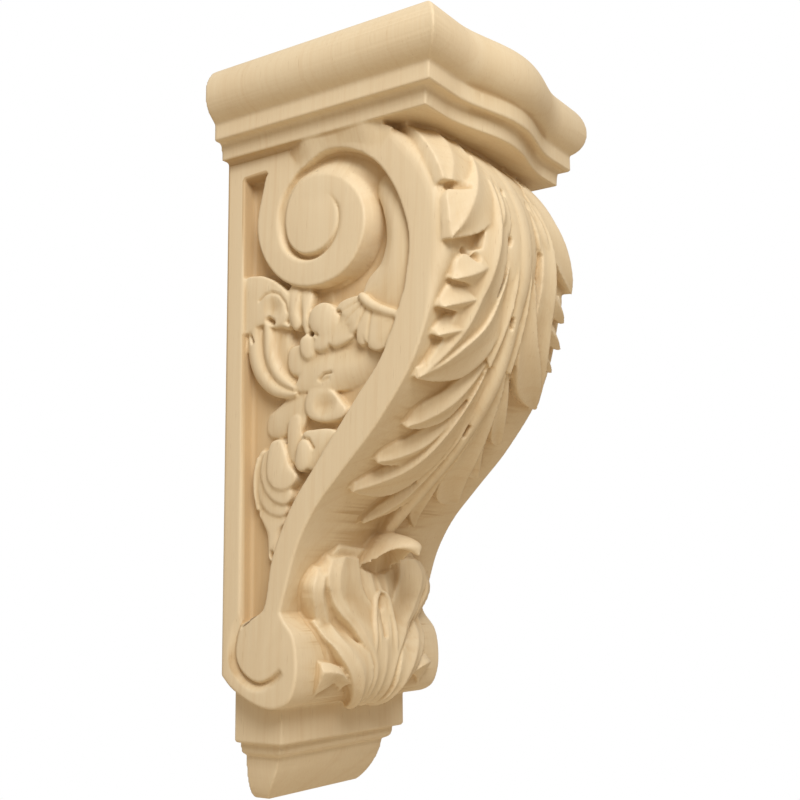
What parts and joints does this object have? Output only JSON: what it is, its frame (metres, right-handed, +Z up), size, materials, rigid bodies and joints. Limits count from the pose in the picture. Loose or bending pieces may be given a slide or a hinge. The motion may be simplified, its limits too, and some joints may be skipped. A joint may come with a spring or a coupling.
{
  "type": "wooden corbel bracket",
  "caption": "Carved wooden corbel: a scrolled bracket with side volutes and hanging leaf carving, under a moulded cap with a bowed front, on a stepped foot.",
  "frame": {"origin": "middle of the flat back, halfway up the height, on the wall plane", "axes": "+Y into the wall, -Y out to the front, +Z up, +X across the width to the right as the front is faced"},
  "size_m": [0.1566, 0.1415, 0.3556],
  "materials": {
    "wood": "bare sanded pale hardwood, unfinished, fine vertical grain"
  },
  "bodies": {
    "root": {"corbel": "wood"}
  },
  "joints": []
}
